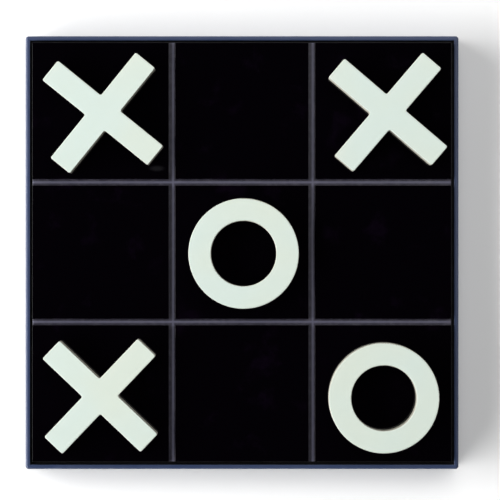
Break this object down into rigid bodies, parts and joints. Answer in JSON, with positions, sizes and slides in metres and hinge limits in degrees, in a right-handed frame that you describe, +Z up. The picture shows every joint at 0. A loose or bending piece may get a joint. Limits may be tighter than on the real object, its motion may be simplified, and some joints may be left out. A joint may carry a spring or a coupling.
{
  "type": "tic tac toe set",
  "caption": "Shallow square navy tray with a lift-out board of nine gloss black tiles divided by grey grooves, flat cross and ring tokens, and storage pockets under the board.",
  "frame": {"origin": "middle of the surface that the feet stand on", "axes": "+Z up, +Y away from the player (the back wall), +X to the player's right"},
  "size_m": [0.24, 0.24, 0.0301],
  "materials": {
    "navy_lacquer": "satin navy lacquer",
    "floor_board": "satin navy lacquer",
    "storage_board": "matte black stain",
    "gloss_black": "polished gloss",
    "satin_grey": "satin charcoal paint",
    "token_white": "satin pale mint-white lacquer",
    "rubber": "matte"
  },
  "bodies": {
    "tray": {"base_panel": "floor_board", "rubber_feet": "rubber", "back_wall": "navy_lacquer", "left_wall": "navy_lacquer", "front_wall": "navy_lacquer", "right_wall": "navy_lacquer", "back_ledge": "storage_board", "left_ledge": "storage_board", "front_ledge": "storage_board", "right_ledge": "storage_board", "divider_row_back": "storage_board", "divider_row_front": "storage_board", "divider_column_left": "storage_board", "divider_column_right": "storage_board"},
    "board": {"board_core": "satin_grey", "tile_back_left": "gloss_black", "tile_back_centre": "gloss_black", "tile_back_right": "gloss_black", "tile_middle_left": "gloss_black", "tile_middle_centre": "gloss_black", "tile_middle_right": "gloss_black", "tile_front_left": "gloss_black", "tile_front_centre": "gloss_black", "tile_front_right": "gloss_black"},
    "x_back_left": {"x_back_left": "token_white"},
    "x_back_right": {"x_back_right": "token_white"},
    "x_front_left": {"x_front_left": "token_white"},
    "o_centre": {"o_centre": "token_white"},
    "o_front_right": {"o_front_right": "token_white"},
    "spare_x_1": {"spare_x_1": "token_white"},
    "spare_x_2": {"spare_x_2": "token_white"},
    "spare_o_1": {"spare_o_1": "token_white"},
    "spare_o_2": {"spare_o_2": "token_white"},
    "spare_o_3": {"spare_o_3": "token_white"}
  },
  "joints": [
    {"name": "board_lift", "type": "slide", "parent": "tray", "child": "board", "axis": [0, 0, 1], "range_m": [0, 0.06]},
    {"name": "x_back_left_lift", "type": "slide", "parent": "board", "child": "x_back_left", "axis": [0, 0, 1], "range_m": [0, 0.03]},
    {"name": "x_back_right_lift", "type": "slide", "parent": "board", "child": "x_back_right", "axis": [0, 0, 1], "range_m": [0, 0.03]},
    {"name": "x_front_left_lift", "type": "slide", "parent": "board", "child": "x_front_left", "axis": [0, 0, 1], "range_m": [0, 0.03]},
    {"name": "o_centre_lift", "type": "slide", "parent": "board", "child": "o_centre", "axis": [0, 0, 1], "range_m": [0, 0.03]},
    {"name": "o_front_right_lift", "type": "slide", "parent": "board", "child": "o_front_right", "axis": [0, 0, 1], "range_m": [0, 0.03]},
    {"name": "spare_x_1_lift", "type": "slide", "parent": "tray", "child": "spare_x_1", "axis": [0, 0, 1], "range_m": [0, 0.03]},
    {"name": "spare_x_2_lift", "type": "slide", "parent": "tray", "child": "spare_x_2", "axis": [0, 0, 1], "range_m": [0, 0.03]},
    {"name": "spare_o_1_lift", "type": "slide", "parent": "tray", "child": "spare_o_1", "axis": [0, 0, 1], "range_m": [0, 0.03]},
    {"name": "spare_o_2_lift", "type": "slide", "parent": "tray", "child": "spare_o_2", "axis": [0, 0, 1], "range_m": [0, 0.03]},
    {"name": "spare_o_3_lift", "type": "slide", "parent": "tray", "child": "spare_o_3", "axis": [0, 0, 1], "range_m": [0, 0.03]}
  ],
  "couplings": [
    {"joint": "spare_x_1_lift", "follows": "board_lift", "ratio": 0.5},
    {"joint": "spare_x_2_lift", "follows": "board_lift", "ratio": 0.5},
    {"joint": "spare_o_1_lift", "follows": "board_lift", "ratio": 0.5},
    {"joint": "spare_o_2_lift", "follows": "board_lift", "ratio": 0.5},
    {"joint": "spare_o_3_lift", "follows": "board_lift", "ratio": 0.5}
  ]
}
